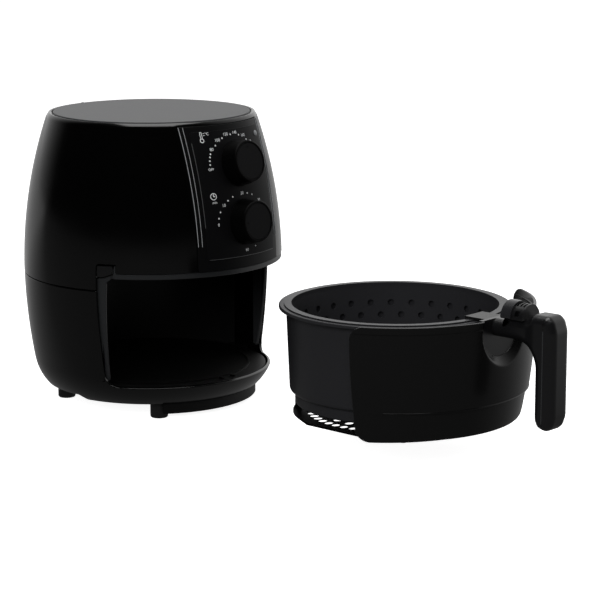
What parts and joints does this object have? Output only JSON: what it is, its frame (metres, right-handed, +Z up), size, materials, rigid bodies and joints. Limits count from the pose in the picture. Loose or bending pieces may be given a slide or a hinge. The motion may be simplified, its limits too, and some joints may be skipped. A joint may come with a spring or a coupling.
{
  "type": "air fryer",
  "caption": "Black barrel-shaped air fryer with dials on its front and its drawer with pan, basket and pistol-grip handle pulled out in front.",
  "frame": {"origin": "centre of the bounding box on the plane that the feet stand on", "axes": "+Z up, -Y towards the drawer's handle, +X to the right for a user who faces the front"},
  "size_m": [0.266, 0.654, 0.3],
  "materials": {
    "gloss_shell": "polished moulded polypropylene",
    "lid_plastic": "fine satin moulding",
    "panel_plastic": "satin moulding",
    "clear_lens": "clear moulded lens",
    "frame_plastic": "satin moulding",
    "inner_plastic": "plain moulding",
    "dark_steel": "heat-resistant black coating",
    "aluminised_steel": "aluminised sheet",
    "element_steel": "heat-tinted tube",
    "wire_steel": "plated wire and strap",
    "motor_steel": "laminated stack",
    "brass": "pressed bell",
    "screw_steel": "plated",
    "fan_aluminium": "pressed sheet",
    "foot_rubber": "moulded rubber",
    "cover_plastic": "semi-gloss moulding",
    "pan_coating": "non-stick coating",
    "handle_plastic": "semi-gloss moulding",
    "guard_plastic": "smoked clear moulding",
    "dial_plastic": "satin moulding"
  },
  "bodies": {
    "housing": {"upper_housing": "gloss_shell", "lower_housing": "gloss_shell", "top_lid": "lid_plastic", "control_panel": "panel_plastic", "panel_inlay": "panel_plastic", "indicator_lens": "clear_lens", "opening_frame": "frame_plastic", "cavity_liner": "dark_steel", "cavity_floor": "inner_plastic", "heat_shield": "aluminised_steel", "heating_element": "element_steel", "element_guard": "wire_steel", "motor": "motor_steel", "motor_bracket": "aluminised_steel", "thermostat": "aluminised_steel", "timer_unit": "aluminised_steel", "timer_bell": "brass", "terminal_block": "inner_plastic", "door_switch": "inner_plastic", "vent_grille": "inner_plastic", "cord_gland": "foot_rubber", "base_plate": "inner_plastic", "base_screws": "screw_steel", "feet": "foot_rubber", "front_plinth": "inner_plastic"},
    "drawer": {"drawer_cover": "cover_plastic", "pan": "pan_coating", "heat_guard": "inner_plastic", "basket": "pan_coating", "basket_bracket": "wire_steel", "bracket_rivets": "screw_steel", "root_plate": "handle_plastic", "handle": "handle_plastic", "grip_cover": "handle_plastic", "grip_screws": "screw_steel", "release_housing": "handle_plastic", "button_spring": "wire_steel"},
    "release_button": {"release_button": "handle_plastic"},
    "button_guard": {"button_guard": "guard_plastic"},
    "temperature_dial": {"temperature_dial": "dial_plastic", "temperature_spindle": "screw_steel"},
    "timer_dial": {"timer_dial": "dial_plastic", "timer_spindle": "screw_steel"},
    "fan_rotor": {"hot_air_fan": "fan_aluminium", "cooling_fan": "inner_plastic", "fan_shaft": "screw_steel"}
  },
  "joints": [
    {"name": "drawer_slide", "type": "slide", "parent": "housing", "child": "drawer", "axis": [0, 1, 0], "range_m": [0, 0.325]},
    {"name": "temperature_dial_turn", "type": "hinge", "parent": "housing", "child": "temperature_dial", "pos_m": [0, 0.07198, 0.256], "axis": [0, -0.9709, 0.2396], "range_deg": [-112, 99]},
    {"name": "timer_dial_turn", "type": "hinge", "parent": "housing", "child": "timer_dial", "pos_m": [0, 0.06152, 0.199], "axis": [0, -0.9927, 0.1208], "range_deg": [-270, 0]},
    {"name": "fan_spin", "type": "hinge", "parent": "housing", "child": "fan_rotor", "pos_m": [0, 0.191, 0.2], "axis": [0, 0, 1], "continuous": true},
    {"name": "release_press", "type": "slide", "parent": "drawer", "child": "release_button", "axis": [0, 0, -1], "range_m": [0, 0.0035], "stiffness_N_per_m": 300, "springref_m": -0.002, "deforming": ["button_spring"]},
    {"name": "guard_slide", "type": "slide", "parent": "drawer", "child": "button_guard", "axis": [0, -1, 0], "range_m": [0, 0.01]}
  ]
}
